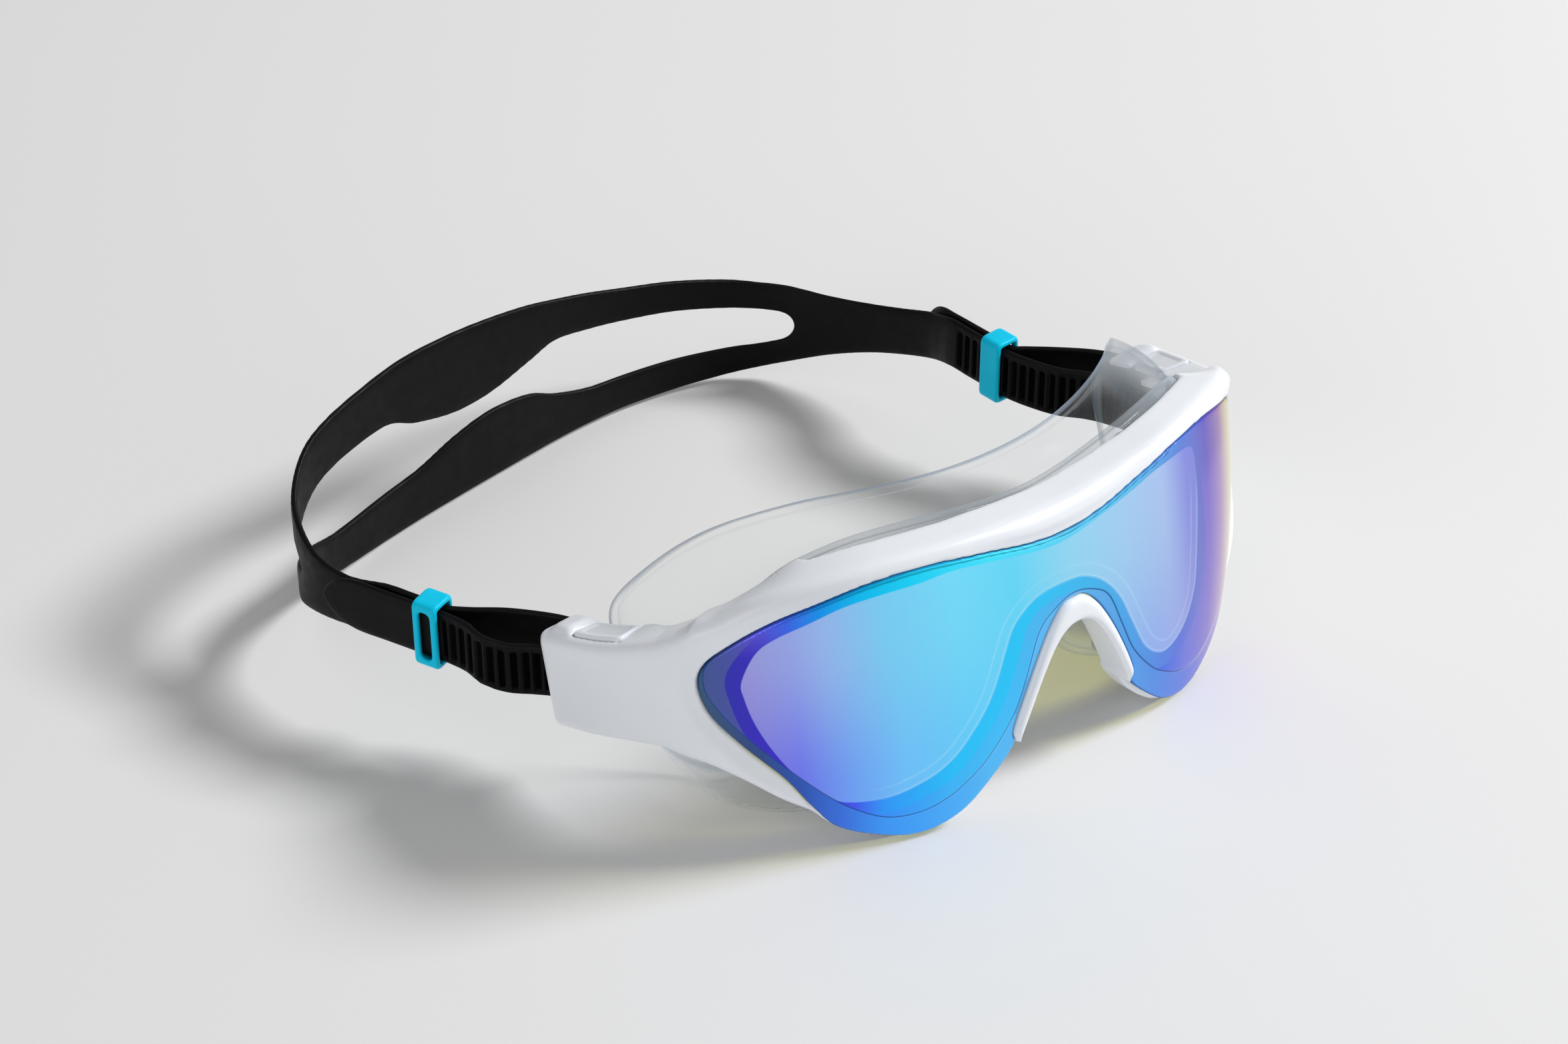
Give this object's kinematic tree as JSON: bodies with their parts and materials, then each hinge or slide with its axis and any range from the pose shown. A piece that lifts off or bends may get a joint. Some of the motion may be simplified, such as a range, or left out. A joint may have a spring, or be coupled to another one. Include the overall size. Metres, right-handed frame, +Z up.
{
  "type": "swim mask goggles",
  "caption": "One-piece mirrored lens in a white moulded frame with a clear face seal and a split rubber head strap held by sliding keepers.",
  "frame": {"origin": "on the floor under the middle of the bounding box, as the goggles lie on their frame and strap", "axes": "+Z up, -Y is the front that the lens faces, +X is to the right of a person who faces the lens"},
  "size_m": [0.1798, 0.1588, 0.0646],
  "materials": {
    "mirror_lens": "mirror-coated polycarbonate, blue to violet",
    "white_shell": "satin cool white",
    "clear_carrier": "clear, glossy",
    "clear_silicone": "clear, glossy",
    "black_silicone": "matte",
    "turquoise_plastic": "satin"
  },
  "bodies": {
    "mask": {"lens": "mirror_lens", "frame": "white_shell", "seal_carrier": "clear_carrier", "face_seal": "clear_silicone", "head_strap": "black_silicone", "strap_clip_left": "white_shell", "strap_clip_right": "white_shell"},
    "button_left": {"release_button_left": "white_shell"},
    "button_right": {"release_button_right": "white_shell"},
    "keeper_left": {"strap_keeper_left": "turquoise_plastic"},
    "keeper_right": {"strap_keeper_right": "turquoise_plastic"}
  },
  "joints": [
    {"name": "keeper_left_slide", "type": "slide", "parent": "mask", "child": "keeper_left", "axis": [-0.3579, 0.9338, 0], "range_m": [0, 0.008]},
    {"name": "keeper_right_slide", "type": "slide", "parent": "mask", "child": "keeper_right", "axis": [-0.04, 0.9992, 0], "range_m": [0, 0.008]},
    {"name": "button_left_press", "type": "slide", "parent": "mask", "child": "button_left", "axis": [0, 0, -1], "range_m": [0, 0.0012], "stiffness_N_per_m": 800},
    {"name": "button_right_press", "type": "slide", "parent": "mask", "child": "button_right", "axis": [0, 0, -1], "range_m": [0, 0.0012], "stiffness_N_per_m": 800}
  ]
}
